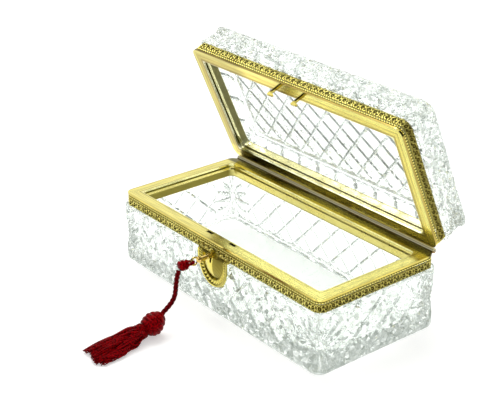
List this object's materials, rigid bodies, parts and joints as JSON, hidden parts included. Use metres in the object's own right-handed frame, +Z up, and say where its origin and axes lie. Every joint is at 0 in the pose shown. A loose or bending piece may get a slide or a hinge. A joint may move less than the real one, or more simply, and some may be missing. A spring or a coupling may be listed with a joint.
{
  "type": "glass casket box",
  "caption": "Oblong cut crystal casket with gilt metal mounts, a hinged lid with hook lock, and a barrel key on a silk tassel.",
  "frame": {"origin": "middle of the flat crystal foot, on the surface the casket stands on", "axes": "+Z up, +X along the casket's length to the right of someone facing the lock, -Y out of the front with the lock"},
  "size_m": [0.204, 0.2139, 0.1508],
  "materials": {
    "crystal": "clear lead crystal, deep diamond cutting, polished",
    "gilt": "fire gilt and polished, ornament matt in its hollows",
    "steel": "filed bright",
    "plaster": "set plaster, matt",
    "silk": "twisted crimson silk"
  },
  "bodies": {
    "base": {"base_crystal": "crystal", "base_flange": "gilt", "base_liner": "gilt", "base_beading": "gilt", "base_gallery": "gilt", "base_bedding": "plaster", "base_hinge_leaf": "gilt", "hinge_pin": "steel", "lock_case": "gilt", "lock_cap": "gilt", "cap_posts": "gilt", "drill_pin": "steel", "bolt_spring": "steel", "escutcheon": "gilt"},
    "lid": {"lid_crystal": "crystal", "lid_flange": "gilt", "lid_liner": "gilt", "lid_beading": "gilt", "lid_gallery": "gilt", "lid_bedding": "plaster", "lid_hinge_leaf": "gilt", "left_hook": "gilt", "right_hook": "gilt"},
    "bolt": {"lock_bolt": "steel"},
    "tassel": {"tassel_cord": "silk", "tassel_head": "silk", "tassel_collar": "silk", "tassel_skirt": "silk"},
    "key": {"key": "gilt", "key_loop": "silk"}
  },
  "joints": [
    {"name": "lid_hinge", "type": "hinge", "parent": "base", "child": "lid", "pos_m": [0, 0.0495, 0.0501], "axis": [-1, 0, 0], "range_deg": [-67, 28]},
    {"name": "bolt_slide", "type": "slide", "parent": "base", "child": "bolt", "axis": [-1, 0, 0], "range_m": [0, 0.003]},
    {"name": "key_pull", "type": "slide", "parent": "base", "child": "tassel", "axis": [0, -1, 0], "range_m": [0, 0.03]},
    {"name": "key_turn", "type": "hinge", "parent": "tassel", "child": "key", "pos_m": [0, -0.0475, 0.041], "axis": [0, -1, 0], "range_deg": [0, 360]}
  ],
  "couplings": [
    {"joint": "key_turn", "follows": "bolt_slide", "rad_per_m": 2094.4}
  ]
}
